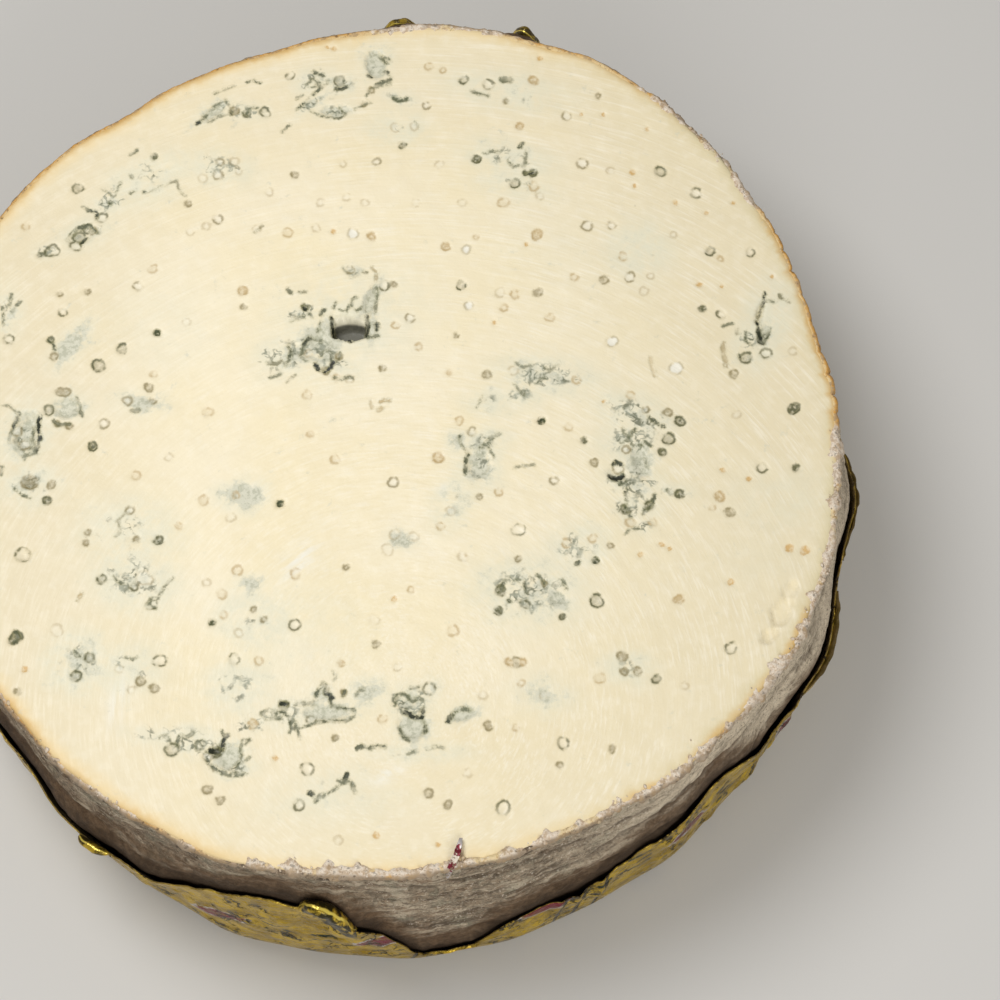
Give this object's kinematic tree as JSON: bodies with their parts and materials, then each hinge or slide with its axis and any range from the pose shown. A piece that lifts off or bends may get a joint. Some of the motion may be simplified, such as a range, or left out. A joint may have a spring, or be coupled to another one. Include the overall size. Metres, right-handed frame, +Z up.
{
  "type": "half wheel of blue cheese in a foil wrap",
  "caption": "Soft blue-veined cheese wheel cut across, lying cut face up, with a natural rind, a crumbling rim and a torn gold foil wrap round its foot.",
  "frame": {"origin": "middle of the flat underside, on the surface that it rests on", "axes": "+Z up, out of the cut face; the side that the picture shows most of faces -Y"},
  "size_m": [0.3056, 0.3087, 0.0885],
  "materials": {
    "cheese": "moist cream paste with grey-green mould, inside a dry grey-brown rind",
    "gold_foil": "crumpled satin gold foil"
  },
  "bodies": {
    "root": {"cheese": "cheese", "foil": "gold_foil"}
  },
  "joints": []
}
